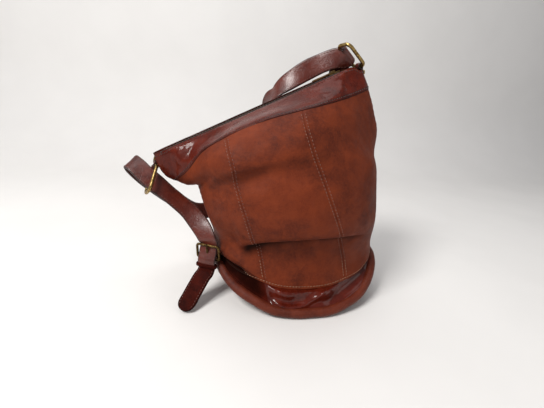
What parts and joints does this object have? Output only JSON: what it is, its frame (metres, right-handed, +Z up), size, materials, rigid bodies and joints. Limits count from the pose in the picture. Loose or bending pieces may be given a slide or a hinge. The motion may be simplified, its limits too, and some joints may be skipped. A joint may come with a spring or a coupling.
{
  "type": "hobo bag",
  "caption": "Slumped bucket-shaped leather shoulder bag with an oval base, a sloping zipped mouth, corner rings and a long buckled strap folded beside it.",
  "frame": {"origin": "centre of the oval base, on the surface that the bag stands on", "axes": "+Z up; +X along the base's long axis, from the mouth's low corner to its high corner; -Y is the front"},
  "size_m": [0.3167, 0.1833, 0.2979],
  "materials": {
    "body_leather": "matt, worn nap, mottled russet",
    "gloss_leather": "smooth pull-up leather with a dull gloss",
    "strap_leather": "smooth, glossy from handling, stitched edges",
    "welt_leather": "rolled, worn, slightly purple brown",
    "base_leather": "matt, scuffed",
    "lining_leather": "matt, unfinished",
    "aged_brass": "tarnished, dull polish on the edges",
    "zip_brass": "tarnished",
    "zip_tape": "woven cotton tape, dark brown"
  },
  "bodies": {
    "bag": {"back_center_panel": "body_leather", "back_foot_band": "gloss_leather", "back_left_panel": "body_leather", "back_right_panel": "body_leather", "back_top_band": "gloss_leather", "base_panel": "base_leather", "base_tab_left": "strap_leather", "base_tab_right": "strap_leather", "base_welt": "welt_leather", "buckle_frame": "aged_brass", "front_center_panel": "body_leather", "front_foot_band": "gloss_leather", "front_left_panel": "body_leather", "front_right_panel": "body_leather", "front_top_band": "gloss_leather", "inner_pocket": "lining_leather", "ring_tab_left": "strap_leather", "ring_tab_right": "strap_leather", "ring_tab_rivets": "aged_brass", "strap_back_low": "strap_leather", "strap_back_rise": "strap_leather", "strap_keeper": "strap_leather", "strap_left_fold": "strap_leather", "strap_left_run": "strap_leather", "strap_right_drop": "strap_leather", "strap_right_turn": "strap_leather", "strap_top_arc": "strap_leather", "zip_end_stops": "zip_brass", "zip_tape_back": "zip_tape", "zip_tape_front": "zip_tape", "zip_teeth_back": "zip_brass", "zip_teeth_front": "zip_brass"},
    "slider": {"zip_slider": "zip_brass"},
    "puller": {"zip_puller": "zip_brass"},
    "ring_left": {"ring_left": "aged_brass"},
    "ring_right": {"ring_right": "aged_brass"},
    "prong": {"buckle_prong": "aged_brass"},
    "tail": {"strap_tail": "strap_leather"}
  },
  "joints": [
    {"name": "zip_slide", "type": "slide", "parent": "bag", "child": "slider", "axis": [-0.8944, 0, -0.4472], "range_m": [0, 0.198]},
    {"name": "puller_swing", "type": "hinge", "parent": "slider", "child": "puller", "pos_m": [0.02385, 0, 0.26749], "axis": [0, 1, 0], "range_deg": [0, 90]},
    {"name": "ring_left_swing", "type": "hinge", "parent": "bag", "child": "ring_left", "pos_m": [-0.17521, 0.00718, 0.1494], "axis": [0.4429, -0.7128, 0.5438], "range_deg": [-10, 1.5]},
    {"name": "ring_right_swing", "type": "hinge", "parent": "bag", "child": "ring_right", "pos_m": [0.05536, 0.00242, 0.27688], "axis": [0.32, -0.946, 0.051], "range_deg": [-3, 1]},
    {"name": "prong_swing", "type": "hinge", "parent": "bag", "child": "prong", "pos_m": [-0.11261, -0.03218, 0.04955], "axis": [0.9048, -0.4259, 0], "range_deg": [0, 60]},
    {"name": "tail_flex", "type": "hinge", "parent": "bag", "child": "tail", "pos_m": [-0.1142, -0.03556, 0.03972], "axis": [0.9048, -0.4259, 0], "range_deg": [-40, 2]}
  ]
}
